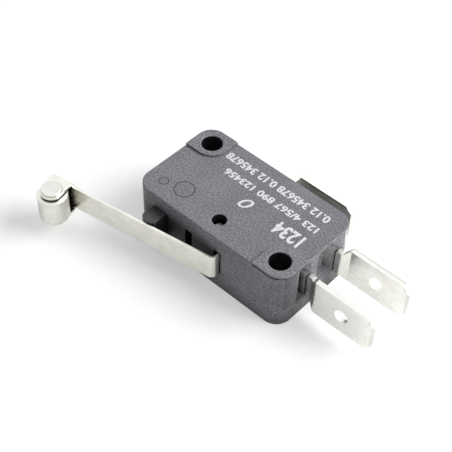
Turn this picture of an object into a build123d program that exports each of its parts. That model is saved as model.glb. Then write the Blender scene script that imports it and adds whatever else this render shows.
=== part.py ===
from build123d import *
import math
import os

# Lever micro switch in the standard 27.8 x 15.9 x 10.3 mm case, with a roller on its lever.
# The origin is the centre of the case's back face. X runs to the terminals, Z out of the printed face.
os.makedirs("parts", exist_ok=True)

# Case, millimetres
case_l = 27.8
case_w = 15.9
face_z = 10.0
corner_r = 2.5
edge_r = 0.15
wall = 1.4
left_wall = 1.5
face_t = 1.2
rib_root = 0.2

# Mounting holes, 2.8 mm in from the sides, with their bosses and raised pads
hole_inset = 2.8
hole_r = 1.6
hole_edge = 0.12
boss_r = 2.79
pad_r = 2.65
pad_h = 0.3
pad_root = 0.5
groove_h = 0.24
groove_deep = 0.25
groove_end = 0.15

# Back cover let into the case, and its post
cover_t = 1.3
cover_sink = 0.02
rim = 0.8
cover_gap = 0.05
post_x = 0.0
post_r = 0.75
post_bevel = 0.25
post_below = 1.3
post_gap = 0.35
sleeve_wall = 0.85
sleeve_l = 3.2
bar_l = 2.4
bar_w = 0.7

# Sheet metal of the three terminals
sheet_t = 0.8
root_w = 4.2
bend_r = 0.5
seat_gap = 0.03

# Blades of the two end terminals
neck_w = 4.5
tab_w = 6.3
tab_out = 12.2
tab_tip_l = 1.0
tab_tip_h = 1.2
tab_bevel = 0.22
tab_hole_r = 1.1
tab_hole_from_end = 5.25
notch_out = 0.1
notch_l = 0.25
notch_deep = 0.3
jog_out = 1.1
jog_l = 1.1
shoulder_from = 0.3
no_root_in = 2.55
no_tab_step = 0.68
nc_root_y = -2.2
nc_tab_step = 0.8
step_gap = 0.3
step_l = 1.8

# Pockets in the end wall round the roots of the end terminals
pocket_deep = 1.8
pocket_floor_gap = 0.05
pocket_lip = 0.35
pocket_wall = 0.9
pocket_rib_y = -0.3

# Common terminal
com_x = 1.5
com_out = 2.92
com_in = 1.35
com_neck = 0.3
com_tab_l = 9.9
com_tip_l = 1.1
com_tip_h = 0.9
com_post_in = 8.0
post_over = 0.9
fork_l = 3.6
pivot_groove_deep = 0.28
pivot_groove_half = 0.3

# Contacts and the arm between them
contact_in = 6.2
contact_r = 1.2
contact_h = 0.6
contact_bevel = 0.15
moving_h = 0.55
shank_r = 0.55
contact_travel = 0.75
contact_gap = 0.05
leg_over = 1.4
arm_y = -0.4
arm_t = 0.4
arm_over = 1.4
knife_l = 0.45
knife_t = 0.08
pivot_gap = 0.12
window_gap = 0.31

# Coil spring between plunger and arm
wire_r = 0.14
coil_r = 0.7
wire_sides = 6
coil_from = 1.9
coil_to_hook = 2.63
coil_pitch = 0.93
coil_lap = 0.05
hook_in = 3.5
hook_bar_l = 0.8
hook_gap = 0.06
hook_bridge = 0.8
spring_drop = 0.9

# Plunger
plunger_in = 5.0
plunger_w = 2.5
plunger_margin = 2.55
nose_gap = 0.083
nose_r = 1.9
nose_round = 0.45
flange_w = 3.9
flange_t = 1.0
flange_over = 0.6
stem_w = 1.6
stem_h = 2.3
stem_over = 0.7
slide_gap = 0.06

# Lever, its slots in the case and its trunnions
lever_t = 0.4
lever_w = 4.2
lever_rise = 9.82
lever_bend_r = 0.8
bend_out = 1.225
hinge_x = 2.6
hinge_in = 0.5
slot_w = 1.35
slot_gap = 0.1
lever_slot_x = 2.25
spare_slot_x = -3.3
trunnion_w = 0.7
trunnion_span = 6.2
saddle_gap = 0.15
saddle_l = 1.3
saddle_w = 1.0
saddle_z_gap = 0.3

# Roller, its riveted pin and the ears of the lever that carry them
roller_s = 26.1
roller_r = 2.3
roller_h = 4.4
roller_bevel = 0.2
roller_lift = 0.31
roller_side_gap = 0.3
pin_r = 0.7
pin_gap = 0.04
head_r = 1.5
head_h = 0.38
head_bevel = 0.18
ear_near = 1.6
ear_far = 2.1
ear_margin = 0.22
ear_bend_r = 0.6

# Derived positions of the case
half_l = case_l / 2
half_w = case_w / 2
mid_z = (face_z + pad_h) / 2
hole_x = half_l - hole_inset
hole_y = half_w - hole_inset
hole_points = [(-hole_x, hole_y), (hole_x, -hole_y)]
inner_w = half_w - wall
cavity_top = face_z - face_t
cavity_h = cavity_top - cover_t
pocket_x = half_l - pocket_deep
cavity_right = pocket_x - pocket_wall
cavity_left = -half_l + left_wall
post_y = -hole_y
plunger_x = -half_l + plunger_in
plunger_h = face_z - 2 * plunger_margin

# Derived positions of the terminals and contacts
contact_x = half_l - contact_in
hook_x = contact_x - hook_in
com_post_x = -half_l + com_post_in
no_root_y = inner_w - no_root_in
root_half = root_w / 2
root_lo = mid_z - root_half
root_hi = mid_z + root_half
seat_half = sheet_t / 2 + seat_gap
seat_h = root_w + 2 * seat_gap
tab_end_x = half_l + tab_out
notch_x = half_l + notch_out
jog_start_x = half_l + jog_out
jog_end_x = jog_start_x + jog_l
step_from_x = cavity_right - step_gap
com_run_y = inner_w - com_in
com_tab_y = half_w + com_out
com_end_x = com_x + com_tab_l
moving_half = arm_t / 2 + moving_h
nc_face_y = arm_y - moving_half - contact_gap
no_face_y = arm_y + moving_half + contact_gap + contact_travel
no_inner_y = no_face_y + contact_h + sheet_t / 2
inner_end_x = contact_x - leg_over
groove_x = com_post_x + sheet_t / 2 - pivot_groove_deep
pivot_x = groove_x + pivot_gap
window_w = 2 * (coil_r + wire_r + window_gap)
window_end_x = hook_x - hook_bridge
hook_half = wire_r + hook_gap

# Derived positions of the lever, the roller and the spring
hinge_y = -inner_w + hinge_in
bend_y = -half_w - bend_out
slot_h = lever_w + 2 * slot_gap
saddle_y = hinge_y + trunnion_w / 2 + saddle_gap
ear_l = ear_near + ear_far
ear_from = roller_s - ear_near
ear_to = roller_s + ear_far
ear_gap = roller_h + 2 * roller_side_gap
ear_span = ear_gap + 2 * lever_t
ear_tip_r = head_r + ear_margin
roller_n = lever_t / 2 + roller_lift + roller_r
rise = math.radians(lever_rise)
strip_y = bend_y - (hinge_x - plunger_x) * math.tan(rise) + lever_t / 2 / math.cos(rise)
nose_y = strip_y + (nose_r + nose_gap) / math.cos(rise) - nose_r
strip_dir = (-math.cos(rise), -math.sin(rise), 0)
strip_out = (math.sin(rise), -math.cos(rise), 0)
spring_start = (plunger_x + stem_w / 8, arm_y - spring_drop)
spring_l = math.dist(spring_start, (hook_x, arm_y))
coil_l = spring_l - coil_from - coil_to_hook
coil_turns = round(coil_l / coil_pitch)
spring_dir = ((hook_x - spring_start[0]) / spring_l, spring_drop / spring_l, 0)


def lever_point(s, n):
    """The XY point at s along the strip from its bend and n outwards from its mid plane."""
    px = hinge_x + s * strip_dir[0] + n * strip_out[0]
    py = bend_y + s * strip_dir[1] + n * strip_out[1]
    return (px, py)


def spring_point(s):
    """The point of the spring's axis at s from its plunger end."""
    return (spring_start[0] + s * spring_dir[0], spring_start[1] + s * spring_dir[1], mid_z)


roller_x, roller_y = lever_point(roller_s, roller_n)

# Case: the moulded shell with the printed face, open at the back
with BuildPart() as case:
    with BuildSketch():
        RectangleRounded(case_l, case_w, corner_r)
    extrude(amount=face_z)
    fillet(case.edges().group_by(Axis.Z)[-1], edge_r)
    # Raised pads round the two mounting holes, the second one turned half round
    for turn in (0, 180):
        with BuildSketch(Plane.XY.offset(face_z - pad_root).rotated((0, 0, turn))):
            with BuildLine():
                Polyline(
                    (-half_l + corner_r, half_w),
                    (-hole_x + pad_r, half_w),
                    (-hole_x + pad_r, hole_y),
                )
                CenterArc((-hole_x, hole_y), pad_r, 0, -90)
                Polyline(
                    (-hole_x, hole_y - pad_r),
                    (-half_l, hole_y - pad_r),
                    (-half_l, half_w - corner_r),
                )
                CenterArc((-half_l + corner_r, half_w - corner_r), corner_r, 180, -90)
            make_face()
        extrude(amount=pad_root + pad_h)
    # Shadow groove under the outer edge of each pad
    with BuildSketch(Plane.XY.offset(face_z - groove_h)):
        with Locations((-half_l, half_w), (half_l, -half_w)):
            Rectangle(2 * (hole_inset + pad_r - groove_end), 2 * (hole_inset + pad_r - groove_end))
        RectangleRounded(
            case_l - 2 * groove_deep,
            case_w - 2 * groove_deep,
            corner_r - groove_deep,
            mode=Mode.SUBTRACT,
        )
    extrude(amount=groove_h, mode=Mode.SUBTRACT)
    # Rebate for the back cover, and the inner cavity
    with BuildSketch():
        RectangleRounded(case_l - 2 * rim, case_w - 2 * rim, corner_r - rim)
    extrude(amount=cover_t, mode=Mode.SUBTRACT)
    with BuildSketch(Plane.XY.offset(cover_t)):
        with Locations((cavity_left, 0)):
            Rectangle(
                cavity_right - cavity_left,
                2 * inner_w,
                align=(Align.MIN, Align.CENTER),
            )
    extrude(amount=cavity_h, mode=Mode.SUBTRACT)
    # Bosses of the mounting holes, and the ribs that back the terminals' inner runs
    with BuildSketch(Plane.XY.offset(cover_t)):
        with Locations(*hole_points):
            Circle(boss_r)
        with Locations((inner_end_x, no_inner_y + seat_half)):
            Rectangle(leg_over, inner_w + rib_root - no_inner_y - seat_half, align=Align.MIN)
        with Locations((inner_end_x, nc_root_y - seat_half)):
            Rectangle(
                leg_over,
                inner_w + rib_root + nc_root_y - seat_half,
                align=(Align.MIN, Align.MAX),
            )
        with Locations(((com_post_x + com_x) / 2, com_run_y + seat_half)):
            Rectangle(
                (com_x - com_post_x) / 2,
                inner_w + rib_root - com_run_y - seat_half,
                align=(Align.CENTER, Align.MIN),
            )
    extrude(amount=cavity_h + rib_root)
    # Pockets in the end wall round the roots of the two end terminals
    with BuildSketch(Plane.XY.offset(root_lo - pocket_floor_gap)):
        with Locations((pocket_x, pocket_rib_y)):
            Rectangle(
                pocket_deep + 1,
                no_root_y + seat_half - pocket_rib_y,
                align=Align.MIN,
            )
        with Locations((pocket_x, -hole_y)):
            Rectangle(pocket_deep + 1, hole_y + nc_root_y + seat_half, align=Align.MIN)
        with Locations((hole_x, -hole_y)):
            Circle(boss_r, mode=Mode.SUBTRACT)
    extrude(amount=face_z - pocket_lip - root_lo + pocket_floor_gap, mode=Mode.SUBTRACT)
    # Sleeve over the cover's post, and the saddle behind the lever's trunnions
    with BuildSketch(Plane.XY.offset(cavity_top - sleeve_l)):
        with Locations((post_x, post_y)):
            Circle(post_r + post_gap + sleeve_wall)
    extrude(amount=sleeve_l + rib_root)
    with BuildSketch(Plane.XY.offset(root_hi + saddle_z_gap)):
        with Locations((hinge_x, saddle_y)):
            Rectangle(saddle_l, saddle_w, align=(Align.CENTER, Align.MIN))
    extrude(amount=cavity_top + rib_root - root_hi - saddle_z_gap)
    # Mounting holes and the hole over the post
    with BuildSketch():
        with Locations(*hole_points):
            Circle(hole_r)
        with Locations((post_x, post_y)):
            Circle(post_r + post_gap)
    extrude(amount=face_z + pad_h, mode=Mode.SUBTRACT)
    # Slots for the lever's leg, one of them spare, and the plunger's guide
    with BuildSketch(Plane.XZ.offset(inner_w - rib_root)):
        with Locations((lever_slot_x, mid_z), (spare_slot_x, mid_z)):
            Rectangle(slot_w, slot_h)
        with Locations((plunger_x, mid_z)):
            Rectangle(plunger_w + 2 * slide_gap, plunger_h + 2 * slide_gap)
    extrude(amount=wall + 1, mode=Mode.SUBTRACT)
    # Slots for the three terminals
    with BuildSketch(Plane.YZ.offset(cavity_right - rib_root)):
        with Locations((no_root_y, mid_z), (nc_root_y, mid_z)):
            Rectangle(2 * seat_half, seat_h)
    extrude(amount=pocket_wall + 2 * rib_root, mode=Mode.SUBTRACT)
    with BuildSketch(Plane.XZ.offset(-inner_w + rib_root)):
        with Locations((com_x, mid_z)):
            Rectangle(2 * seat_half, seat_h)
    extrude(amount=-wall - 1, mode=Mode.SUBTRACT)
    # Channel past the boss for the straight leg of the normally closed terminal
    with BuildSketch(Plane.XY.offset(root_lo - seat_gap)):
        with Locations((inner_end_x, nc_root_y)):
            Rectangle(pocket_x - inner_end_x, 2 * seat_half, align=(Align.MIN, Align.CENTER))
    extrude(amount=seat_h, mode=Mode.SUBTRACT)
    rims = case.edges().filter_by(GeomType.CIRCLE).group_by(Axis.Z)[-1]
    chamfer(rims.filter_by(lambda e: abs(e.radius - hole_r) < 0.01), hole_edge)
case.part.label = "case"
export_step(case.part, "parts/case.step")

# Back cover: flush plate with its post, its saddle for the trunnions and the bars under the terminals
with BuildPart() as back_cover:
    with BuildSketch():
        RectangleRounded(
            case_l - 2 * (rim + cover_gap),
            case_w - 2 * (rim + cover_gap),
            corner_r - rim - cover_gap,
        )
        with Locations(*hole_points):
            Circle(hole_r, mode=Mode.SUBTRACT)
    extrude(amount=cover_t - cover_sink)
    with BuildSketch(Plane.XY.offset(cover_t / 2)):
        with Locations((post_x, post_y)):
            Circle(post_r)
    extrude(amount=face_z - post_below - cover_t / 2)
    chamfer(back_cover.edges().group_by(Axis.Z)[-1], post_bevel)
    with BuildSketch(Plane.XY.offset(cover_t / 2)):
        with Locations((hinge_x, saddle_y)):
            Rectangle(saddle_l, saddle_w, align=(Align.CENTER, Align.MIN))
        with Locations(
            (contact_x, no_inner_y),
            (contact_x, nc_root_y),
            ((com_post_x + com_x) / 2, com_run_y),
        ):
            Rectangle(bar_l, bar_w)
    extrude(amount=root_lo - seat_gap - cover_t / 2)
back_cover.part.label = "back_cover"
export_step(back_cover.part, "parts/back_cover.step")

# Plunger: rounded nose, guided body, retaining flange and the stem that holds the spring
nose_drop = nose_r - math.sqrt(nose_r**2 - (plunger_w / 2) ** 2)
plunger_left = plunger_x - plunger_w / 2
plunger_right = plunger_x + plunger_w / 2
with BuildPart() as plunger:
    with BuildSketch(Plane.XY.offset(mid_z - plunger_h / 2)):
        with BuildLine():
            Polyline(
                (plunger_left, nose_y + nose_drop),
                (plunger_left, -inner_w + slide_gap),
                (plunger_right, -inner_w + slide_gap),
                (plunger_right, nose_y + nose_drop),
            )
            ThreePointArc(
                (plunger_right, nose_y + nose_drop),
                (plunger_x, nose_y),
                (plunger_left, nose_y + nose_drop),
            )
        make_face()
    extrude(amount=plunger_h)
    fillet(plunger.edges().filter_by(Axis.Z).group_by(Axis.Y)[0], nose_round)
    with BuildSketch(Plane.XZ.offset(inner_w - slide_gap)):
        with Locations((plunger_x, mid_z)):
            Rectangle(flange_w, plunger_h + 2 * flange_over)
    extrude(amount=-flange_t)
    with BuildSketch(Plane.XZ.offset(inner_w - slide_gap)):
        with Locations((plunger_x, mid_z)):
            Rectangle(stem_w, stem_h)
    extrude(amount=-(inner_w - slide_gap + spring_start[1] + stem_over))
    # Slit and cross slot at the stem's end for the spring's tail and its bar
    with BuildSketch(Plane.XZ.offset(-spring_start[1] + stem_over)):
        with Locations((spring_start[0], mid_z)):
            Rectangle(2 * hook_half, hook_bar_l + 2 * hook_gap)
            Rectangle(stem_w, 2 * hook_half, align=(Align.MIN, Align.CENTER))
    extrude(amount=-2 * stem_over, mode=Mode.SUBTRACT)
plunger.part.label = "plunger"
export_step(plunger.part, "parts/plunger.step")

# Lever: a bent strip with trunnions inside the case and a channel of two ears at its far end
with BuildPart() as lever:
    with BuildSketch(Plane.XY.offset(mid_z - lever_w / 2)):
        with BuildLine():
            FilletPolyline(
                (hinge_x, hinge_y + trunnion_w / 2),
                (hinge_x, bend_y),
                lever_point(ear_to, 0),
                radius=lever_bend_r,
            )
        trace(line_width=lever_t)
    extrude(amount=lever_w)
    with BuildSketch(Plane.XZ.offset(-hinge_y)):
        with Locations((hinge_x, mid_z)):
            Rectangle(lever_t, trunnion_span)
    extrude(amount=trunnion_w / 2, both=True)
    ear_start = Plane(
        origin=(*lever_point(ear_from, 0), mid_z),
        x_dir=strip_out,
        z_dir=strip_dir,
    )
    ear_reach = roller_n + 2 * ear_tip_r
    with BuildSketch(ear_start) as channel:
        with Locations((-lever_t / 2, 0)):
            Rectangle(ear_reach, ear_span, align=(Align.MIN, Align.CENTER))
        fillet(channel.vertices().group_by(Axis.X)[0], ear_bend_r)
        with Locations((lever_t / 2, 0)):
            Rectangle(
                ear_reach,
                ear_gap,
                align=(Align.MIN, Align.CENTER),
                mode=Mode.SUBTRACT,
            )
    extrude(amount=ear_l)
    # Outline of the ears, rounded about the pin, and the holes of the pin
    ear_side = Plane(
        origin=(*lever_point(0, 0), 0),
        x_dir=strip_dir,
        z_dir=(0, 0, 1),
    )
    with BuildSketch(ear_side):
        with Locations((roller_s, lever_t / 2)):
            Rectangle(ear_l + 2, 2 * ear_reach, align=(Align.CENTER, Align.MIN))
        with BuildSketch(mode=Mode.SUBTRACT):
            with BuildLine():
                Line((ear_from, 0), (ear_to, 0))
                CenterArc((roller_s, roller_n), ear_tip_r, 0, 360)
            make_hull()
    extrude(amount=face_z, mode=Mode.SUBTRACT)
    with BuildSketch(ear_side):
        with Locations((roller_s, roller_n)):
            Circle(pin_r)
    extrude(amount=face_z, mode=Mode.SUBTRACT)
lever.part.label = "lever"
export_step(lever.part, "parts/lever.step")

# Roller: a turned drum with a bore for the pin and softened rims
roller_plane = Plane(origin=(roller_x, roller_y, mid_z))
with BuildPart() as roller:
    with BuildSketch(roller_plane):
        Circle(roller_r)
        Circle(pin_r + pin_gap, mode=Mode.SUBTRACT)
    extrude(amount=roller_h / 2, both=True)
    rims = roller.edges().filter_by(GeomType.CIRCLE)
    chamfer(rims.filter_by(lambda e: abs(e.radius - roller_r) < 0.01), roller_bevel)
roller.part.label = "roller"
export_step(roller.part, "parts/roller.step")

# Roller pin: a rivet with a low bevelled head outside each ear
with BuildPart() as roller_pin:
    with BuildSketch(roller_plane):
        Circle(pin_r)
    extrude(amount=ear_span / 2, both=True)
    for side in (1, -1):
        with BuildSketch(roller_plane.offset(side * ear_span / 2)):
            Circle(head_r)
        extrude(amount=side * head_h)
    chamfer(roller_pin.edges().group_by(Axis.Z)[0], head_bevel)
    chamfer(roller_pin.edges().group_by(Axis.Z)[-1], head_bevel)
roller_pin.part.label = "roller_pin"
export_step(roller_pin.part, "parts/roller_pin.step")

# Outline of an end terminal seen from the side: blade, shoulders, neck, notches and root
blade_half = tab_w / 2
neck_half = neck_w / 2
blade_outline = [
    (inner_end_x, root_half),
    (notch_x, root_half),
    (notch_x, root_half - notch_deep),
    (notch_x + notch_l, root_half - notch_deep),
    (notch_x + notch_l, neck_half),
    (jog_start_x + shoulder_from, neck_half),
    (jog_end_x, blade_half),
    (tab_end_x - tab_tip_l, blade_half),
    (tab_end_x, blade_half - tab_tip_h),
]
blade_mirror = [(x, -z) for x, z in reversed(blade_outline)]

# Bent runs of the two end terminals seen from above, each from its blade's tip to its contact leg
no_tab_y = no_root_y + no_tab_step
nc_tab_y = nc_root_y - nc_tab_step
no_run = [
    (tab_end_x, no_tab_y),
    (jog_end_x, no_tab_y),
    (jog_start_x, no_root_y),
    (step_from_x, no_root_y),
    (step_from_x - step_l, no_inner_y),
    (inner_end_x, no_inner_y),
]
nc_run = [
    (tab_end_x, nc_tab_y),
    (jog_end_x, nc_tab_y),
    (jog_start_x, nc_root_y),
    (inner_end_x, nc_root_y),
]

# Normally open and normally closed terminals: sheet bent along its run, blanked to the side outline
for name, run in (("no_terminal", no_run), ("nc_terminal", nc_run)):
    with BuildPart() as end_terminal:
        with BuildSketch():
            with BuildLine():
                FilletPolyline(*run, radius=bend_r)
            trace(line_width=sheet_t)
        extrude(amount=face_z)
        with BuildSketch(Plane.XZ.offset(-half_w)):
            with BuildLine():
                Polyline(*[(x, mid_z + z) for x, z in blade_outline + blade_mirror], close=True)
            make_face()
            with Locations((tab_end_x - tab_hole_from_end, mid_z)):
                Circle(tab_hole_r, mode=Mode.SUBTRACT)
            with Locations((contact_x, mid_z)):
                Circle(shank_r, mode=Mode.SUBTRACT)
        extrude(amount=case_w, mode=Mode.INTERSECT)
        tip_edges = end_terminal.edges().filter_by(Axis.Z).group_by(Axis.X)[-1]
        chamfer(tip_edges, tab_bevel)
    end_terminal.part.label = name
    export_step(end_terminal.part, f"parts/{name}.step")

# Common terminal: a forked post with the pivot groove, a run along the case, and the outer blade
com_leg_x = com_x - sheet_t
com_outline = [
    (com_post_x - sheet_t, root_half),
    (com_leg_x, root_half),
    (com_leg_x, blade_half),
    (com_end_x - com_tip_l, blade_half),
    (com_end_x, blade_half - com_tip_h),
]
com_mirror = [(x, -z) for x, z in reversed(com_outline)]
fork_tip_y = arm_y - post_over
with BuildPart() as com_terminal:
    with BuildSketch():
        with BuildLine():
            FilletPolyline(
                (com_post_x, fork_tip_y),
                (com_post_x, com_run_y),
                (com_x, com_run_y),
                (com_x, com_tab_y),
                (com_end_x, com_tab_y),
                radius=bend_r,
            )
        trace(line_width=sheet_t)
        # Pivot groove in the post
        with BuildLine():
            Polyline(
                (groove_x + pivot_groove_deep, arm_y - pivot_groove_half),
                (groove_x, arm_y),
                (groove_x + pivot_groove_deep, arm_y + pivot_groove_half),
                close=True,
            )
        make_face(mode=Mode.SUBTRACT)
    extrude(amount=face_z)
    with BuildSketch(Plane.XZ.offset(-com_tab_y - sheet_t)):
        with BuildLine():
            Polyline(*[(x, mid_z + z) for x, z in com_outline + com_mirror], close=True)
        make_face()
        with Locations((com_end_x - tab_hole_from_end, mid_z)):
            Circle(tab_hole_r, mode=Mode.SUBTRACT)
    extrude(amount=2 * case_w, mode=Mode.INTERSECT)
    # Root of the leg, as narrow as its slot up to the shoulders outside the case
    with BuildSketch(Plane.XZ.offset(-half_w - com_neck)):
        with Locations((com_x, mid_z)):
            Rectangle(2 * sheet_t, face_z)
            Rectangle(2 * sheet_t, root_w, mode=Mode.SUBTRACT)
    extrude(amount=half_w, mode=Mode.SUBTRACT)
    # Window that makes the post a fork round the spring
    with BuildSketch(Plane.YZ.offset(com_post_x - sheet_t)):
        with Locations((fork_tip_y - 1, mid_z)):
            Rectangle(fork_l + 1, window_w, align=(Align.MIN, Align.CENTER))
    extrude(amount=2 * sheet_t, mode=Mode.SUBTRACT)
com_terminal.part.label = "com_terminal"
export_step(com_terminal.part, "parts/com_terminal.step")

# Fixed contacts: each a rivet whose shank fills the hole in its terminal's leg
for name, face_y, away, leg_y in (
    ("no_contact", no_face_y, 1, no_inner_y),
    ("nc_contact", nc_face_y, -1, nc_root_y),
):
    contact_plane = Plane(origin=(contact_x, face_y, mid_z), z_dir=(0, away, 0))
    head_l = abs(leg_y - face_y) - sheet_t / 2
    with BuildPart() as fixed_contact:
        with BuildSketch(contact_plane):
            Circle(contact_r)
        extrude(amount=head_l)
        face_rim = fixed_contact.edges().sort_by(lambda e: away * e.center().Y)[0]
        chamfer(face_rim, contact_bevel)
        with BuildSketch(contact_plane):
            Circle(shank_r)
        extrude(amount=head_l + sheet_t)
    fixed_contact.part.label = name
    export_step(fixed_contact.part, f"parts/{name}.step")

# Contact arm: a stamped frame whose two knife ends sit in the common terminal's groove
with BuildPart() as contact_arm:
    with BuildSketch(Plane.XY.offset(root_lo)):
        with BuildLine():
            Polyline(
                (pivot_x, arm_y - knife_t / 2),
                (pivot_x + knife_l, arm_y - arm_t / 2),
                (contact_x + arm_over, arm_y - arm_t / 2),
                (contact_x + arm_over, arm_y + arm_t / 2),
                (pivot_x + knife_l, arm_y + arm_t / 2),
                (pivot_x, arm_y + knife_t / 2),
                close=True,
            )
        make_face()
    extrude(amount=root_w)
    with BuildSketch(Plane.XZ.offset(-arm_y)):
        with Locations((pivot_x - 1, mid_z)):
            Rectangle(window_end_x - pivot_x + 1, window_w, align=(Align.MIN, Align.CENTER))
        # Slit and cross slot for the spring's tail and its bar
        with Locations((hook_x, mid_z)):
            Rectangle(2 * hook_half, hook_bar_l + 2 * hook_gap)
            Rectangle(hook_bridge, 2 * hook_half, align=(Align.MAX, Align.CENTER))
        with Locations((contact_x, mid_z)):
            Circle(shank_r)
    extrude(amount=arm_t, both=True, mode=Mode.SUBTRACT)
contact_arm.part.label = "contact_arm"
export_step(contact_arm.part, "parts/contact_arm.step")

# Moving contact: one rivet with a contact face on each side of the arm
with BuildPart() as moving_contact:
    for side in (1, -1):
        outer = Plane(origin=(contact_x, arm_y + side * moving_half, mid_z), z_dir=(0, -side, 0))
        with BuildSketch(outer):
            Circle(contact_r)
        extrude(amount=moving_h)
    chamfer(moving_contact.edges().group_by(Axis.Y)[0], contact_bevel)
    chamfer(moving_contact.edges().group_by(Axis.Y)[-1], contact_bevel)
    with BuildSketch(Plane(origin=(contact_x, arm_y, mid_z), z_dir=(0, 1, 0))):
        Circle(shank_r)
    extrude(amount=arm_t / 2, both=True)
moving_contact.part.label = "moving_contact"
export_step(moving_contact.part, "parts/moving_contact.step")

# Coil spring: a wire coil between two straight tails, each with a cross bar as its hook
with BuildPart() as spring:
    with BuildLine() as coil:
        Helix(
            pitch=coil_l / coil_turns,
            height=coil_l,
            radius=coil_r,
            center=spring_point(coil_from),
            direction=spring_dir,
        )
    with BuildSketch(Plane(origin=coil.line @ 0, z_dir=coil.line % 0)):
        RegularPolygon(wire_r, wire_sides)
    sweep(path=coil.line)
    # Each end turns in to the axis from just inside the coil, runs out straight and ends in its bar
    for coil_end, coil_end_s, lap, bar_s in (
        (coil.line @ 0, coil_from, coil_lap, 0),
        (coil.line @ 1, coil_from + coil_l, -coil_lap, spring_l),
    ):
        with BuildLine() as tail:
            FilletPolyline(
                coil_end + Vector(*spring_dir) * lap,
                spring_point(coil_end_s + lap),
                spring_point(bar_s),
                radius=2 * wire_r,
            )
        with BuildSketch(Plane(origin=tail.line @ 0, z_dir=tail.line % 0)):
            RegularPolygon(wire_r, wire_sides)
        sweep(path=tail.line)
        with BuildSketch(Plane(origin=spring_point(bar_s))):
            RegularPolygon(wire_r, wire_sides)
        extrude(amount=hook_bar_l / 2, both=True)
spring.part.label = "spring"
export_step(spring.part, "parts/spring.step")
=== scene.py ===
import math

import bmesh
import bpy
from mathutils import Matrix, Vector


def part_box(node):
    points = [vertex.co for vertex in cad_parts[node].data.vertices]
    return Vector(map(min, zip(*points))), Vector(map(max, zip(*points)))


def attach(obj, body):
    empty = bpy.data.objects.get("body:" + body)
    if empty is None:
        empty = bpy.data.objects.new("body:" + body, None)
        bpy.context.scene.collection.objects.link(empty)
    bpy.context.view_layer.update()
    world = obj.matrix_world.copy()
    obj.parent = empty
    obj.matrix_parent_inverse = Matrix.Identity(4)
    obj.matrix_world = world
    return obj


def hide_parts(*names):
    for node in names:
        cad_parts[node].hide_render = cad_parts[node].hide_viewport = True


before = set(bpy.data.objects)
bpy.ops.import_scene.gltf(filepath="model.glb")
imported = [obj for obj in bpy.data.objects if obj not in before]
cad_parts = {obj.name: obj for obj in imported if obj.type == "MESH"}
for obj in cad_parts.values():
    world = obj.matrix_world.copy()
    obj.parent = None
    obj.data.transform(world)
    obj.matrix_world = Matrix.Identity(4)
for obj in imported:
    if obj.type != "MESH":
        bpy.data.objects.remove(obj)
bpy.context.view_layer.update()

# Camera
# The picture is taken from high above the terminals' end, a little over the lever's side, with a
# long lens and the camera rolled two degrees.
camera_eye = Vector((0.064738, -0.077735, 0.117669))
camera_aim = Vector((-0.001037, -0.002525, 0.005799))
camera_roll = math.radians(2.046)
camera_data = bpy.data.cameras.new("camera")
camera_data.lens = 83.06
camera_data.sensor_width = 36
camera_data.clip_start = 0.005
camera_data.clip_end = 20
camera = bpy.data.objects.new("camera", camera_data)
camera_turn = (camera_aim - camera_eye).to_track_quat("-Z", "Y").to_matrix().to_4x4()
camera.matrix_world = Matrix.Translation(camera_eye) @ camera_turn @ Matrix.Rotation(camera_roll, 4, "Z")
bpy.context.scene.collection.objects.link(camera)
bpy.context.scene.camera = camera
bpy.context.scene.view_settings.view_transform = "Standard"


# Table and light
# The switch lies on a white sheet in a white room, under one large softbox that stands beyond the
# terminals' end and a little behind the far side.
def add_material(name):
    material = bpy.data.materials.new(name)
    material.use_nodes = True
    return material, material.node_tree.nodes, material.node_tree.links


def add_object(name, mesh):
    piece = bpy.data.objects.new(name, mesh)
    bpy.context.scene.collection.objects.link(piece)
    return piece


def seen_directly(nodes, links):
    """A mask of the rays that see a surface straight, mirrored or through something."""
    path = nodes.new("ShaderNodeLightPath")
    first = nodes.new("ShaderNodeMath")
    first.operation = "MAXIMUM"
    links.new(path.outputs["Is Camera Ray"], first.inputs[0])
    links.new(path.outputs["Is Glossy Ray"], first.inputs[1])
    both = nodes.new("ShaderNodeMath")
    both.operation = "MAXIMUM"
    links.new(first.outputs[0], both.inputs[0])
    links.new(path.outputs["Is Transmission Ray"], both.inputs[1])
    return both.outputs[0]


sheet_size = 3.0
sheet_z = -0.00002
sheet_tone = (0.95, 0.95, 0.955, 1)
sheet_bounce = (0.66, 0.66, 0.66, 1)
sheet_lift = 0.375
sheet_mesh = bpy.data.meshes.new("white_sheet")
sheet_shape = bmesh.new()
bmesh.ops.create_grid(sheet_shape, x_segments=1, y_segments=1, size=sheet_size / 2)
bmesh.ops.translate(sheet_shape, verts=sheet_shape.verts, vec=(0, 0, sheet_z))
sheet_shape.to_mesh(sheet_mesh)
sheet_shape.free()
white_sheet = add_object("white_sheet", sheet_mesh)
sheet_paper, nodes, links = add_material("sheet_paper")
paper = nodes["Principled BSDF"]
paper.inputs["Roughness"].default_value = 0.9
paper.inputs["Specular IOR Level"].default_value = 0.1
paper.inputs["Emission Color"].default_value = (1, 1, 1, 1)
straight = seen_directly(nodes, links)
sheet_glow = nodes.new("ShaderNodeMath")
sheet_glow.operation = "MULTIPLY"
sheet_glow.inputs[1].default_value = sheet_lift
links.new(straight, sheet_glow.inputs[0])
links.new(sheet_glow.outputs[0], paper.inputs["Emission Strength"])
sheet_mix = nodes.new("ShaderNodeMix")
sheet_mix.data_type = "RGBA"
sheet_mix.inputs[6].default_value = sheet_bounce
sheet_mix.inputs[7].default_value = sheet_tone
links.new(straight, sheet_mix.inputs[0])
links.new(sheet_mix.outputs[2], paper.inputs["Base Color"])
sheet_mesh.materials.append(sheet_paper)

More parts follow.
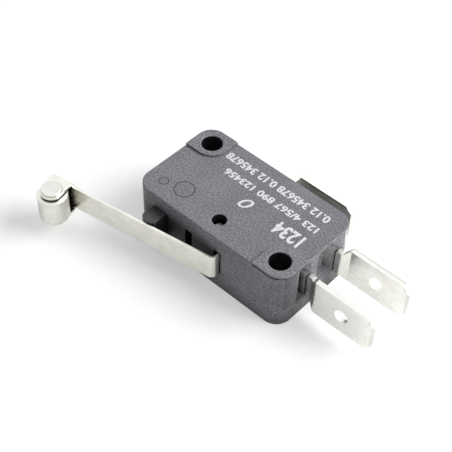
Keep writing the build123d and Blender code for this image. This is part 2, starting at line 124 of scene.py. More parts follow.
room_tint = (0.97, 0.985, 1.0, 1)
room_fill = 0.26
room_white = 1.22
room = bpy.data.worlds.new("white_room")
room.use_nodes = True
nodes, links = room.node_tree.nodes, room.node_tree.links
room_light = nodes["Background"]
room_light.inputs["Color"].default_value = room_tint
room_level = nodes.new("ShaderNodeMapRange")
room_level.inputs["To Min"].default_value = room_fill
room_level.inputs["To Max"].default_value = room_white
links.new(seen_directly(nodes, links), room_level.inputs["Value"])
links.new(room_level.outputs[0], room_light.inputs["Strength"])
bpy.context.scene.world = room

softbox_place = Vector((0.354, 0.290, 0.33))
softbox_side = 0.42
softbox_power = 3.4
softbox_data = bpy.data.lights.new("key_softbox", "AREA")
softbox_data.shape = "SQUARE"
softbox_data.size = softbox_side
softbox_data.energy = softbox_power
softbox = bpy.data.objects.new("key_softbox", softbox_data)
softbox_turn = (-softbox_place).to_track_quat("-Z", "Y").to_matrix().to_4x4()
softbox.matrix_world = Matrix.Translation(softbox_place) @ softbox_turn
bpy.context.scene.collection.objects.link(softbox)

# Case
# A shell moulded in dark grey phenolic, with a fine sparkle of filler in its skin. The face is
# finished matt by the mould, and its outer edges are a touch smoother, and lighter from wear and a
# painted highlight. Painted shade darkens its slots, corners and holes.
CASE_BODY = "switch_body"
case_grey = (0.018, 0.019, 0.024, 1)
case_grey_light = (0.475, 0.480, 0.515, 1)
# The dark of painted shade in slots, corners and holes; the ejector-pin ring lines mix towards it too.
hole_shade = (0.004, 0.004, 0.0045, 1)


def add_group(name, inputs, outputs):
    group = bpy.data.node_groups.new(name, "ShaderNodeTree")
    for label, kind, value in inputs:
        socket = group.interface.new_socket(label, in_out="INPUT", socket_type=kind)
        if value is not None:
            socket.default_value = value
    for label, kind in outputs:
        group.interface.new_socket(label, in_out="OUTPUT", socket_type=kind)
    return group, group.nodes.new("NodeGroupInput"), group.nodes.new("NodeGroupOutput")


def use_group(nodes, group, **values):
    node = nodes.new("ShaderNodeGroup")
    node.node_tree = group
    for label, value in values.items():
        node.inputs[label.replace("_", " ")].default_value = value
    return node


def add_math(nodes, links, operation, first, second=None, clamp=False):
    """A Math node whose inputs are sockets or numbers."""
    node = nodes.new("ShaderNodeMath")
    node.operation = operation
    node.use_clamp = clamp
    for place, value in enumerate((first, second)):
        if value is None:
            continue
        if isinstance(value, (int, float)):
            node.inputs[place].default_value = value
        else:
            links.new(value, node.inputs[place])
    return node.outputs[0]


def mix_colours(nodes, links, share, first, second, blend="MIX"):
    """A colour mixed by a mask, from colours that are sockets or values."""
    node = nodes.new("ShaderNodeMix")
    node.data_type = "RGBA"
    node.blend_type = blend
    links.new(share, node.inputs[0])
    for place, colour in ((6, first), (7, second)):
        if isinstance(colour, tuple):
            node.inputs[place].default_value = colour
        else:
            links.new(colour, node.inputs[place])
    return node.outputs[2]


# Soft edge: rounds the shading of a sharp edge and gives a broken mask along it.
soft_edge, given, result = add_group(
    "soft_edge",
    (("Radius", "NodeSocketFloat", 0.0001), ("Wear Scale", "NodeSocketFloat", 2500.0)),
    (("Normal", "NodeSocketVector"), ("Edge", "NodeSocketFloat")),
)
nodes, links = soft_edge.nodes, soft_edge.links
rounding = nodes.new("ShaderNodeBevel")
rounding.samples = 8
links.new(given.outputs["Radius"], rounding.inputs["Radius"])
surface = nodes.new("ShaderNodeNewGeometry")
agreement = nodes.new("ShaderNodeVectorMath")
agreement.operation = "DOT_PRODUCT"
links.new(rounding.outputs["Normal"], agreement.inputs[0])
links.new(surface.outputs["Normal"], agreement.inputs[1])
turned = add_math(nodes, links, "SUBTRACT", 1.0, agreement.outputs["Value"])
turned = add_math(nodes, links, "MULTIPLY", turned, 6.0, clamp=True)
place = nodes.new("ShaderNodeTexCoord")
breaks = nodes.new("ShaderNodeTexNoise")
breaks.inputs["Detail"].default_value = 3
links.new(place.outputs["Object"], breaks.inputs["Vector"])
links.new(given.outputs["Wear Scale"], breaks.inputs["Scale"])
broken = add_math(nodes, links, "MULTIPLY", turned, breaks.outputs["Fac"], clamp=True)
links.new(rounding.outputs["Normal"], result.inputs["Normal"])
links.new(broken, result.inputs["Edge"])

# Recess shade: a mask for painted shade, which falls off in slots and corners, where light doesn't reach.
recess_shade, given, result = add_group(
    "recess_shade",
    (
        ("Reach", "NodeSocketFloat", 0.005),
        ("Closed", "NodeSocketFloat", 0.1),
        ("Free", "NodeSocketFloat", 0.5),
    ),
    (("Open", "NodeSocketFloat"),),
)
nodes, links = recess_shade.nodes, recess_shade.links
hollow = nodes.new("ShaderNodeAmbientOcclusion")
hollow.samples = 8
links.new(given.outputs["Reach"], hollow.inputs["Distance"])
open_range = nodes.new("ShaderNodeMapRange")
open_range.interpolation_type = "SMOOTHSTEP"
links.new(hollow.outputs["AO"], open_range.inputs["Value"])
links.new(given.outputs["Closed"], open_range.inputs["From Min"])
links.new(given.outputs["Free"], open_range.inputs["From Max"])
links.new(open_range.outputs[0], result.inputs["Open"])


def add_reach(nodes, links, given):
    """Each point's distance from an upright line through the given centre, and its height."""
    place = nodes.new("ShaderNodeTexCoord")
    parts = nodes.new("ShaderNodeSeparateXYZ")
    links.new(place.outputs["Object"], parts.inputs[0])
    from_x = add_math(nodes, links, "SUBTRACT", parts.outputs["X"], given.outputs["Centre X"])
    from_y = add_math(nodes, links, "SUBTRACT", parts.outputs["Y"], given.outputs["Centre Y"])
    square_x = add_math(nodes, links, "MULTIPLY", from_x, from_x)
    square_y = add_math(nodes, links, "MULTIPLY", from_y, from_y)
    away = add_math(nodes, links, "SQRT", add_math(nodes, links, "ADD", square_x, square_y))
    return away, parts.outputs["Z"]


# Bore shade: a mask of painted shade on the wall of one round hole, black from its rim down.
bore_slack = 1.04
bore_fade = 0.0006
bore_shade, given, result = add_group(
    "bore_shade",
    (
        ("Centre X", "NodeSocketFloat", 0.0),
        ("Centre Y", "NodeSocketFloat", 0.0),
        ("Radius", "NodeSocketFloat", 0.0016),
        ("Rim Z", "NodeSocketFloat", 0.0102),
    ),
    (("Inside", "NodeSocketFloat"),),
)
nodes, links = bore_shade.nodes, bore_shade.links
away, level = add_reach(nodes, links, given)
reach = add_math(nodes, links, "MULTIPLY", given.outputs["Radius"], bore_slack)
within = add_math(nodes, links, "LESS_THAN", away, reach)
depth = add_math(nodes, links, "SUBTRACT", given.outputs["Rim Z"], level)
depth = add_math(nodes, links, "DIVIDE", depth, bore_fade, clamp=True)
links.new(add_math(nodes, links, "MULTIPLY", within, depth), result.inputs["Inside"])

# Ring mask: a thin line round a centre, as the rim of an ejector pin leaves on a moulded face.
ring_low_z = 0.0098
ring_mask, given, result = add_group(
    "ring_mask",
    (
        ("Centre X", "NodeSocketFloat", 0.0),
        ("Centre Y", "NodeSocketFloat", 0.0),
        ("Radius", "NodeSocketFloat", 0.001),
        ("Width", "NodeSocketFloat", 0.0001),
    ),
    (("Ring", "NodeSocketFloat"),),
)
nodes, links = ring_mask.nodes, ring_mask.links
away, level = add_reach(nodes, links, given)
off = add_math(nodes, links, "SUBTRACT", away, given.outputs["Radius"])
off = add_math(nodes, links, "ABSOLUTE", off)
faded = add_math(nodes, links, "DIVIDE", off, given.outputs["Width"])
faded = add_math(nodes, links, "SUBTRACT", 1.0, faded, clamp=True)
on_face = add_math(nodes, links, "GREATER_THAN", level, ring_low_z)
links.new(add_math(nodes, links, "MULTIPLY", faded, on_face), result.inputs["Ring"])

# Box mask: one inside a box that is given by its lowest and highest corners.
box_mask, given, result = add_group(
    "box_mask",
    (("Low", "NodeSocketVector", (0, 0, 0)), ("High", "NodeSocketVector", (1, 1, 1))),
    (("Inside", "NodeSocketFloat"),),
)
nodes, links = box_mask.nodes, box_mask.links
place = nodes.new("ShaderNodeTexCoord")
here = place.outputs["Object"]
inside = None
for upper, lower in ((here, given.outputs["Low"]), (given.outputs["High"], here)):
    over = nodes.new("ShaderNodeVectorMath")
    over.operation = "SUBTRACT"
    links.new(upper, over.inputs[0])
    links.new(lower, over.inputs[1])
    sides = nodes.new("ShaderNodeSeparateXYZ")
    links.new(over.outputs[0], sides.inputs[0])
    for axis in ("X", "Y", "Z"):
        beyond = add_math(nodes, links, "GREATER_THAN", sides.outputs[axis], 0.0)
        inside = beyond if inside is None else add_math(nodes, links, "MULTIPLY", inside, beyond)
links.new(inside, result.inputs["Inside"])

# Moulded grain: the fine pitted skin of a moulded part, with slow cloudy changes under it.
moulded_grain, given, result = add_group(
    "moulded_grain",
    (("Grain Scale", "NodeSocketFloat", 4000.0), ("Cloud Scale", "NodeSocketFloat", 160.0)),
    (("Height", "NodeSocketFloat"), ("Grain", "NodeSocketFloat"), ("Cloud", "NodeSocketFloat")),
)
nodes, links = moulded_grain.nodes, moulded_grain.links
place = nodes.new("ShaderNodeTexCoord")
grain = nodes.new("ShaderNodeTexNoise")
grain.inputs["Detail"].default_value = 4
grain.inputs["Roughness"].default_value = 0.65
links.new(place.outputs["Object"], grain.inputs["Vector"])
links.new(given.outputs["Grain Scale"], grain.inputs["Scale"])
pits = nodes.new("ShaderNodeTexVoronoi")
pits_scale = add_math(nodes, links, "MULTIPLY", given.outputs["Grain Scale"], 1.6)
links.new(place.outputs["Object"], pits.inputs["Vector"])
links.new(pits_scale, pits.inputs["Scale"])
cloud = nodes.new("ShaderNodeTexNoise")
cloud.inputs["Detail"].default_value = 3
links.new(place.outputs["Object"], cloud.inputs["Vector"])
links.new(given.outputs["Cloud Scale"], cloud.inputs["Scale"])
spread = nodes.new("ShaderNodeMapRange")
spread.inputs["From Min"].default_value = 0.32
spread.inputs["From Max"].default_value = 0.68
links.new(grain.outputs["Fac"], spread.inputs["Value"])
pit_depth = add_math(nodes, links, "MULTIPLY", pits.outputs["Distance"], 0.5)
pitted_height = add_math(nodes, links, "ADD", grain.outputs["Fac"], pit_depth)
links.new(spread.outputs[0], result.inputs["Grain"])
links.new(pitted_height, result.inputs["Height"])
links.new(cloud.outputs["Fac"], result.inputs["Cloud"])


def box_tone(x, y, z, amount):
    """The two corners of a box from its three spans, and how strongly the box is toned."""
    return (x[0], y[0], z[0]), (x[1], y[1], z[1]), amount


def moulded_material(name, dark, light, edge_r, rough, bump, grain_scale, bores=(), painted_light_boxes=(), rings=()):
    """A matt moulded plastic: two colours mixed by its grain, edges lighter from wear and a painted
    highlight, painted shade in recesses and holes, painted light and shade in given boxes, and pitted
    normals.
    """
    cloud_share = 0.35
    grain_share = 0.65
    wear_and_highlight_gain = 0.55
    gloss_spread = 0.06
    ring_sunk = 1.6
    ring_dark = 0.8
    material, nodes, links = add_material(name)
    shader = nodes["Principled BSDF"]
    shader.inputs["Specular IOR Level"].default_value = 0.35
    edge = use_group(nodes, soft_edge, Radius=edge_r)
    skin = use_group(nodes, moulded_grain, Grain_Scale=grain_scale)
    cloudy = add_math(nodes, links, "MULTIPLY", skin.outputs["Cloud"], cloud_share)
    grainy = add_math(nodes, links, "MULTIPLY", skin.outputs["Grain"], grain_share)
    mottled = add_math(nodes, links, "ADD", cloudy, grainy)
    # Edges are lighter partly from wear and partly as a painted highlight.
    worn_and_highlit = add_math(nodes, links, "MULTIPLY", edge.outputs["Edge"], wear_and_highlight_gain)
    share = add_math(nodes, links, "ADD", mottled, worn_and_highlit, clamp=True)
    skin_tone = mix_colours(nodes, links, share, dark, light)
    # Painted shade: the colour darkens towards hole_shade in slots, corners and recesses.
    hollow = use_group(nodes, recess_shade, Reach=0.006, Closed=0.2, Free=0.84)
    # Share of the surface's own colour: painted shade lowers it, painted light boxes lift it, and the ring
    # lines lower it too.
    light_and_marks = hollow.outputs["Open"]
    # Painted light and shade: each given box lifts the painted recess shade and scales the colour by its
    # gain.
    for low, high, gain in painted_light_boxes:
        toned = use_group(nodes, box_mask, Low=low, High=high)
        light_and_marks = add_math(nodes, links, "MAXIMUM", light_and_marks, toned.outputs["Inside"])
        gain_tone = (gain, gain, gain, 1)
        skin_tone = mix_colours(nodes, links, toned.outputs["Inside"], skin_tone, gain_tone, "MULTIPLY")
    height = skin.outputs["Height"]
    for x, y, radius, width in rings:
        ring = use_group(nodes, ring_mask, Centre_X=x, Centre_Y=y, Radius=radius, Width=width)
        sunk = add_math(nodes, links, "MULTIPLY", ring.outputs["Ring"], ring_sunk)
        height = add_math(nodes, links, "SUBTRACT", height, sunk)
        line = add_math(nodes, links, "MULTIPLY", ring.outputs["Ring"], ring_dark)
        light_and_marks = add_math(nodes, links, "SUBTRACT", light_and_marks, line, clamp=True)
    # Painted shade: each bore's wall is black from its rim down.
    for x, y, radius, rim_z in bores:
        bore = use_group(nodes, bore_shade, Centre_X=x, Centre_Y=y, Radius=radius, Rim_Z=rim_z)
        light_and_marks = add_math(nodes, links, "SUBTRACT", light_and_marks, bore.outputs["Inside"], clamp=True)
    shaded = mix_colours(nodes, links, light_and_marks, hole_shade, skin_tone)
    links.new(shaded, shader.inputs["Base Color"])
    gloss = nodes.new("ShaderNodeMapRange")
    gloss.inputs["To Min"].default_value = rough + gloss_spread
    gloss.inputs["To Max"].default_value = rough - gloss_spread
    links.new(skin.outputs["Grain"], gloss.inputs["Value"])
    links.new(gloss.outputs[0], shader.inputs["Roughness"])
    pitted = nodes.new("ShaderNodeBump")
    pitted.inputs["Strength"].default_value = bump
    pitted.inputs["Distance"].default_value = 0.00003
    links.new(height, pitted.inputs["Height"])
    links.new(edge.outputs["Normal"], pitted.inputs["Normal"])
    links.new(pitted.outputs["Normal"], shader.inputs["Normal"])
    return material


def finish_node(node, material):
    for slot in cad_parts[node].material_slots:
        slot.material = material


mount_hole_r = 0.0016
mount_rim_z = 0.0103
post_hole_r = 0.0011
face_z = 0.0100
case_bores = (
    (-0.0111, 0.00515, mount_hole_r, mount_rim_z),
    (0.0111, -0.00515, mount_hole_r, mount_rim_z),
    (0.0, -0.00515, post_hole_r, face_z),
)
# Painted light: the far pocket's plate and floor are painted lighter where they catch the light, and the near
# pocket a little. Painted shade: a painted shadow makes the corner beside the near one greyer.
pocket_x = (0.0120, 0.01388)
far_pocket_y = (-0.0026, 0.0064)
near_pocket_y = (-0.0048, -0.0026)
corner_x = (0.0124, 0.0142)
corner_y = (-0.0074, -0.0042)
corner_inner_y = (-0.0068, -0.0042)
corner_z = (0.0031, 0.0098)
pocket_painted_light = (
    box_tone(pocket_x, far_pocket_y, (0.0072, 0.0097), 3.0),
    box_tone(pocket_x, far_pocket_y, (0.0029, 0.0072), 1.5),
    box_tone(pocket_x, near_pocket_y, (0.0028, 0.0097), 1.15),
    box_tone(corner_x, corner_y, corner_z, 0.82),
    box_tone(corner_x, corner_inner_y, corner_z, 0.62),
)
pin_rings = (
    (-0.00762, -0.00432, 0.0015, 0.00017),
    (-0.01094, -0.00515, 0.0007, 0.00015),
)
case_phenolic = moulded_material(
    "case_phenolic",
    case_grey,
    case_grey_light,
    edge_r=0.00012,
    rough=0.50,
    bump=0.55,
    grain_scale=4000.0,
    bores=case_bores,
    painted_light_boxes=pocket_painted_light,
    rings=pin_rings,
)
finish_node("case", case_phenolic)

# Print on the face
# White ink put on by a pad: two long rows of figures, a large number and a single figure, all with
# their tops to the lever's side. The film is thin, and the grain shows through it a little.
ink_white = (0.985, 0.985, 0.99, 1)
ink_thin = (0.86, 0.86, 0.87, 1)
ink_cover = 0.35
ink_half_t = 0.000006
ink_z = 0.010004
ink_material, nodes, links = add_material("pad_print_ink")
ink = nodes["Principled BSDF"]
ink.inputs["Specular IOR Level"].default_value = 0.3
ink_film = use_group(nodes, moulded_grain, Grain_Scale=5200.0)
ink_share = add_math(nodes, links, "ADD", ink_film.outputs["Grain"], ink_cover, clamp=True)
ink_tone = mix_colours(nodes, links, ink_share, ink_thin, ink_white)
links.new(ink_tone, ink.inputs["Base Color"])
ink_gloss = nodes.new("ShaderNodeMapRange")
ink_gloss.inputs["To Min"].default_value = 0.62
ink_gloss.inputs["To Max"].default_value = 0.48
links.new(ink_film.outputs["Grain"], ink_gloss.inputs["Value"])
links.new(ink_gloss.outputs[0], ink.inputs["Roughness"])
ink_skin = nodes.new("ShaderNodeBump")
ink_skin.inputs["Strength"].default_value = 0.35
ink_skin.inputs["Distance"].default_value = 0.00002
links.new(ink_film.outputs["Height"], ink_skin.inputs["Height"])
links.new(ink_skin.outputs["Normal"], ink.inputs["Normal"])


def print_words(name, text, x_start, x_end, y_base, y_top, weight=0.030, slant=0.0):
    """Text fitted into its box on the face, read towards -X with the tops of its figures towards -Y."""
    figure_height = 0.73
    words = bpy.data.curves.new(name, "FONT")
    words.body = text
    words.size = 1
    words.shear = slant
    words.offset = weight
    words.resolution_u = 4
    words.fill_mode = "BOTH"
    words.extrude = ink_half_t / ((y_base - y_top) / figure_height)
    writer = bpy.data.objects.new(name + "_writer", words)
    bpy.context.scene.collection.objects.link(writer)
    bpy.context.view_layer.update()
    mesh = bpy.data.meshes.new_from_object(writer.evaluated_get(bpy.context.evaluated_depsgraph_get()))
    bpy.data.objects.remove(writer)
    shape = bmesh.new()
    shape.from_mesh(mesh)
    bmesh.ops.remove_doubles(shape, verts=shape.verts, dist=0.0005)
    low = Vector((min(v.co.x for v in shape.verts), min(v.co.y for v in shape.verts), 0))
    high = Vector((max(v.co.x for v in shape.verts), max(v.co.y for v in shape.verts), 0))
    bmesh.ops.translate(shape, verts=shape.verts, vec=-low)
    wide = (x_start - x_end) / (high.x - low.x)
    tall = (y_base - y_top) / (high.y - low.y)
    bmesh.ops.scale(shape, verts=shape.verts, vec=(wide, tall, tall))
    bmesh.ops.rotate(shape, verts=shape.verts, cent=(0, 0, 0), matrix=Matrix.Rotation(math.pi, 3, "Z"))
    bmesh.ops.translate(shape, verts=shape.verts, vec=(x_start, y_base, ink_z))
    bmesh.ops.recalc_face_normals(shape, faces=shape.faces)
    mesh.clear_geometry()
    shape.to_mesh(mesh)
    shape.free()
    mesh.name = name
    mesh.materials.clear()
    mesh.materials.append(ink_material)
    piece = add_object(name, mesh)
    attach(piece, CASE_BODY)


print_words("print_row_far", "0.12 345678 0.12 345678", 0.0112, -0.00795, 0.0060, 0.00455)
print_words("print_row_near", "123 4/567 890 123456", 0.0112, -0.0060, 0.0033, 0.00200)
print_words("print_large", "1234", 0.0110, 0.0063, 0.0007, -0.0018)
print_words("print_mark", "0", 0.00155, -0.00035, 0.00075, -0.00135, weight=0.005, slant=0.3)

# Back cover
# A plate moulded in the same phenolic, pressed into the case from the back. Its post's tip is
# painted lighter, a painted highlight, so that it shows as a paler stub at the bottom of the small
# blind hole.
cover_grey = (0.11, 0.112, 0.12, 1)
cover_grey_light = (0.29, 0.292, 0.305, 1)
# Painted highlight: the post's tip is four times lighter.
post_tip_painted_light = box_tone((-0.0008, 0.0008), (-0.00596, -0.00434), (0.0080, 0.0088), 4.0)
cover_phenolic = moulded_material(
    "cover_phenolic",
    cover_grey,
    cover_grey_light,
    edge_r=0.00015,
    rough=0.46,
    bump=0.4,
    grain_scale=3600.0,
    painted_light_boxes=(post_tip_painted_light,),
)
finish_node("back_cover", cover_phenolic)

# Terminals
# Three blades stamped from brass sheet and nickel plated. The rolled grain runs along each blade,
# the cut edges are painted brighter, partly as wear and partly as a painted highlight, and the
# plating shows faint stains and handling marks. Painted shade darkens the metal in slots and tight
# gaps.
# The dark olive of painted shade on the metals, and of the darker lines in the given boxes.
sheet_shade = (0.090, 0.085, 0.066, 1)
rolled_sheet, given, result = add_group(
    "rolled_sheet",
    (
        ("Vector", "NodeSocketVector", None),
        ("Across", "NodeSocketFloat", 9000.0),
        ("Along", "NodeSocketFloat", 120.0),
    ),
    (("Streak", "NodeSocketFloat"), ("Height", "NodeSocketFloat"), ("Stain", "NodeSocketFloat")),
)
nodes, links = rolled_sheet.nodes, rolled_sheet.links
stretch = nodes.new("ShaderNodeCombineXYZ")
links.new(given.outputs["Along"], stretch.inputs["X"])
links.new(given.outputs["Across"], stretch.inputs["Y"])
links.new(given.outputs["Across"], stretch.inputs["Z"])
drawn = nodes.new("ShaderNodeVectorMath")
drawn.operation = "MULTIPLY"
links.new(given.outputs["Vector"], drawn.inputs[0])
links.new(stretch.outputs[0], drawn.inputs[1])
streak = nodes.new("ShaderNodeTexNoise")
streak.inputs["Scale"].default_value = 1.0
streak.inputs["Detail"].default_value = 5
streak.inputs["Roughness"].default_value = 0.6
links.new(drawn.outputs[0], streak.inputs["Vector"])
even = nodes.new("ShaderNodeMapRange")
even.inputs["From Min"].default_value = 0.3
even.inputs["From Max"].default_value = 0.7
links.new(streak.outputs["Fac"], even.inputs["Value"])
stain = nodes.new("ShaderNodeTexNoise")
stain.inputs["Scale"].default_value = 420.0
stain.inputs["Detail"].default_value = 4
links.new(given.outputs["Vector"], stain.inputs["Vector"])
blotch = nodes.new("ShaderNodeMapRange")
blotch.inputs["From Min"].default_value = 0.42
blotch.inputs["From Max"].default_value = 0.75
links.new(stain.outputs["Fac"], blotch.inputs["Value"])
links.new(even.outputs[0], result.inputs["Streak"])
links.new(streak.outputs["Fac"], result.inputs["Height"])
links.new(blotch.outputs[0], result.inputs["Stain"])


def sheet_metal(
    name,
    dark,
    light,
    edge_r,
    rough,
    bump,
    turn=(0, 0, 0),
    across=9000.0,
    along=120.0,
    close_shade_reach=0.0,
    dark_boxes=(),
):
    """A rolled metal with streaks along its turned X axis, stains, edges painted brighter as wear and as a
    painted highlight, painted shade in slots and tight gaps, and darker given boxes.
    """
    even_level = 0.45
    streak_gain = 0.35
    stain_dulling = 0.3
    edge_gain = 0.6
    material, nodes, links = add_material(name)
    shader = nodes["Principled BSDF"]
    shader.inputs["Metallic"].default_value = 1.0
    place = nodes.new("ShaderNodeTexCoord")
    turned = nodes.new("ShaderNodeMapping")
    turned.inputs["Rotation"].default_value = turn
    links.new(place.outputs["Object"], turned.inputs["Vector"])
    rolled = use_group(nodes, rolled_sheet, Across=across, Along=along)
    links.new(turned.outputs[0], rolled.inputs["Vector"])
    edge = use_group(nodes, soft_edge, Radius=edge_r)
    level = add_math(nodes, links, "MULTIPLY", rolled.outputs["Streak"], streak_gain)
    level = add_math(nodes, links, "ADD", level, even_level)
    dulled = add_math(nodes, links, "MULTIPLY", rolled.outputs["Stain"], stain_dulling)
    level = add_math(nodes, links, "SUBTRACT", level, dulled)
    # Edges are painted brighter, partly as wear and partly as a painted highlight.
    bright = add_math(nodes, links, "MULTIPLY", edge.outputs["Edge"], edge_gain)
    share = add_math(nodes, links, "ADD", level, bright, clamp=True)
    sheet_colour = mix_colours(nodes, links, share, dark, light)
    # Painted shade: the colour darkens towards sheet_shade in slots, corners and tight gaps.
    hollow = use_group(nodes, recess_shade, Reach=0.0015, Closed=0.05, Free=0.65)
    light_and_marks = hollow.outputs["Open"]
    # Painted shade where a piece runs very close to another, as the lever's strip does beside the roller and
    # round the rivet heads.
    if close_shade_reach:
        close_shade = use_group(nodes, recess_shade, Reach=close_shade_reach, Closed=0.2, Free=0.95)
        light_and_marks = add_math(nodes, links, "MULTIPLY", light_and_marks, close_shade.outputs["Open"])
    # Each given box darkens the colour towards sheet_shade: painted shade, and the darker lines along the
    # blades' tops.
    for low, high, amount in dark_boxes:
        mark = use_group(nodes, box_mask, Low=low, High=high)
        darker = add_math(nodes, links, "MULTIPLY", mark.outputs["Inside"], amount)
        light_and_marks = add_math(nodes, links, "SUBTRACT", light_and_marks, darker, clamp=True)
    shaded = mix_colours(nodes, links, light_and_marks, sheet_shade, sheet_colour)
    links.new(shaded, shader.inputs["Base Color"])
    matt = add_math(nodes, links, "MULTIPLY", rolled.outputs["Stain"], 0.08)
    fine = add_math(nodes, links, "MULTIPLY", rolled.outputs["Streak"], 0.10)
    rough_sum = add_math(nodes, links, "ADD", matt, fine)
    links.new(add_math(nodes, links, "ADD", rough_sum, rough - 0.06), shader.inputs["Roughness"])
    scratched = nodes.new("ShaderNodeBump")
    scratched.inputs["Strength"].default_value = bump
    scratched.inputs["Distance"].default_value = 0.00001
    links.new(rolled.outputs["Height"], scratched.inputs["Height"])
    links.new(edge.outputs["Normal"], scratched.inputs["Normal"])
    links.new(scratched.outputs["Normal"], shader.inputs["Normal"])
    return material


brass_dark = (0.66, 0.652, 0.61, 1)
brass_light = (0.93, 0.92, 0.875, 1)
brass_edge_r = 0.00006
root_shadow_x = (0.01388, 0.01412)
both_blades_y = (-0.0036, 0.0052)
far_blade_back_y = (0.00494, 0.0052)
# Painted shade on the blades: a dark shadow line across the roots where they leave the case, a
# darker line along the far blade's top, and painted shade on the bevelled tips.
blade_dark_boxes = (
    box_tone(root_shadow_x, (-0.0030, 0.0050), (0.0, 0.0100), 1.0),
    box_tone((0.0150, 0.0252), far_blade_back_y, (0.0081, 0.0085), 0.55),
    box_tone((0.0252, 0.0262), both_blades_y, (0.0076, 0.0085), 0.35),
    box_tone((0.0258, 0.0262), both_blades_y, (0.0018, 0.0085), 0.18),
)
plated_brass = sheet_metal("plated_brass", brass_dark, brass_light, brass_edge_r, 0.28, 0.35, dark_boxes=blade_dark_boxes)
finish_node("no_terminal", plated_brass)
finish_node("nc_terminal", plated_brass)
# A darker line along the side blade's top, mixed towards sheet_shade.
side_dark_line = box_tone((-0.0020, 0.0125), (0.0103, 0.0106), (0.0080, 0.00828), 0.8)
side_brass = sheet_metal("side_brass", brass_dark, brass_light, brass_edge_r, 0.46, 0.35, dark_boxes=(side_dark_line,))
finish_node("com_terminal", side_brass)

# Contacts, arm and spring
# Silver faced rivets sit in the terminals' legs and in a springy copper arm, and a steel coil
# spring pulls the arm's knife ends into the post. All of it is closed in by the case.
silver_dark = (0.70, 0.695, 0.68, 1)
silver_light = (0.92, 0.915, 0.90, 1)
silver_face = sheet_metal(
    "silver_face", silver_dark, silver_light, 0.00005, 0.30, 0.3, across=5000.0, along=5000.0
)
for node in ("no_contact", "nc_contact", "moving_contact"):
    finish_node(node, silver_face)
copper_dark = (0.58, 0.30, 0.17, 1)
copper_light = (0.86, 0.53, 0.36, 1)
copper_strip = sheet_metal("copper_strip", copper_dark, copper_light, 0.00005, 0.32, 0.3)
finish_node("contact_arm", copper_strip)
wire_dark = (0.36, 0.355, 0.35, 1)
wire_light = (0.66, 0.655, 0.65, 1)
spring_steel = sheet_metal(
    "spring_steel", wire_dark, wire_light, 0.00003, 0.30, 0.25, across=7000.0, along=2500.0
)
finish_node("spring", spring_steel)

# Plunger
# A button moulded in dark nylon that slides in the case wall.
nylon_dark = (0.045, 0.046, 0.050, 1)
nylon_light = (0.130, 0.132, 0.138, 1)
plunger_nylon = moulded_material(
    "plunger_nylon", nylon_dark, nylon_light, edge_r=0.0002, rough=0.36, bump=0.25, grain_scale=2600.0
)
finish_node("plunger", plunger_nylon)

# Lever
# A strip of stainless spring steel, bent to an L at its leg and drawn into a channel at its far
# end. The rolling marks run along the strip, and the slit edges are painted bright, partly as wear
# and partly as a painted highlight. Painted shade darkens the strip beside the roller and round the
# rivet heads.
lever_dark = (0.58, 0.57, 0.51, 1)
lever_light = (0.895, 0.885, 0.81, 1)
lever_rise = math.radians(9.82)
lever_turn = (0, 0, -lever_rise)
lever_steel = sheet_metal(
    "lever_steel", lever_dark, lever_light, 0.00008, 0.26, 0.35, turn=lever_turn, close_shade_reach=0.0005
)
finish_node("lever", lever_steel)

# Roller and pin
# A drum turned from stainless bar runs on a rivet set through the two ears. Turning leaves fine
# rings round the drum, and the rivet's heads are rounded over by the press.
roller_dark = (0.55, 0.54, 0.495, 1)
roller_light = (0.84, 0.83, 0.77, 1)
roller_steel = sheet_metal(
    "roller_steel", roller_dark, roller_light, 0.00006, 0.34, 0.3, across=900.0, along=900.0
)
pin_dark = (0.56, 0.55, 0.51, 1)
pin_light = (0.82, 0.81, 0.76, 1)
pin_steel = sheet_metal("pin_steel", pin_dark, pin_light, 0.00005, 0.28, 0.25, across=4000.0, along=4000.0)


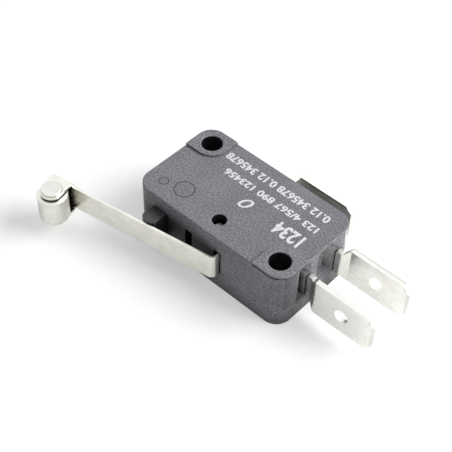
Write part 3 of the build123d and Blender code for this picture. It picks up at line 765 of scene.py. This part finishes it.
def turned_piece(name, outline, centre, steps, rounds, round_r):
    """A body of revolution about a line along Z through centre, with the named rims rounded over."""
    near = 0.000005
    crease = math.radians(32)
    shape = bmesh.new()
    corners = [shape.verts.new((radius, 0, height)) for radius, height in outline]
    ring = [shape.edges.new((corners[i], corners[(i + 1) % len(corners)])) for i in range(len(corners))]
    bmesh.ops.spin(
        shape,
        geom=corners + ring,
        cent=(0, 0, 0),
        axis=(0, 0, 1),
        angle=math.tau,
        steps=steps,
        use_merge=True,
    )
    bmesh.ops.remove_doubles(shape, verts=shape.verts, dist=0.000001)

    def on_rim(vert, radius, height):
        return abs(math.hypot(vert.co.x, vert.co.y) - radius) < near and abs(vert.co.z - height) < near

    rims = [e for e in shape.edges if any(all(on_rim(v, *rim) for v in e.verts) for rim in rounds)]
    bmesh.ops.bevel(
        shape,
        geom=rims,
        offset=round_r,
        offset_type="OFFSET",
        affect="EDGES",
        segments=5,
        profile=0.5,
        material=-1,
    )
    bmesh.ops.recalc_face_normals(shape, faces=shape.faces)
    for face in shape.faces:
        face.smooth = True
    for e in shape.edges:
        e.smooth = e.calc_face_angle(0) < crease
    bmesh.ops.translate(shape, verts=shape.verts, vec=centre)
    mesh = bpy.data.meshes.new(name)
    shape.to_mesh(mesh)
    shape.free()
    return add_object(name, mesh)


pin_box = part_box("roller_pin")
pin_mid = (pin_box[0] + pin_box[1]) / 2
roller_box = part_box("roller")
roller_r = (roller_box[1].x - roller_box[0].x) / 2
roller_half = (roller_box[1].z - roller_box[0].z) / 2
bore_r = 0.00074
turned_roller = turned_piece(
    "turned_roller",
    [(bore_r, -roller_half), (roller_r, -roller_half), (roller_r, roller_half), (bore_r, roller_half)],
    pin_mid,
    steps=112,
    rounds=[(roller_r, -roller_half), (roller_r, roller_half)],
    round_r=0.0002,
)
turned_roller.data.materials.append(roller_steel)
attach(turned_roller, "roller_body")
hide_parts("roller")

shank_r = 0.0007
head_r = (pin_box[1].x - pin_box[0].x) / 2
pin_half = (pin_box[1].z - pin_box[0].z) / 2
head_h = 0.00038
dimple_r = 0.00045
dimple_deep = 0.00012
rivet = turned_piece(
    "roller_rivet",
    [
        (0.0, -pin_half + dimple_deep),
        (dimple_r, -pin_half),
        (head_r, -pin_half),
        (head_r, -pin_half + head_h),
        (shank_r, -pin_half + head_h),
        (shank_r, pin_half - head_h),
        (head_r, pin_half - head_h),
        (head_r, pin_half),
        (dimple_r, pin_half),
        (0.0, pin_half - dimple_deep),
    ],
    pin_mid,
    steps=72,
    rounds=[(head_r, -pin_half), (head_r, pin_half)],
    round_r=0.00024,
)
rivet.data.materials.append(pin_steel)
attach(rivet, "lever_body")
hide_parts("roller_pin")
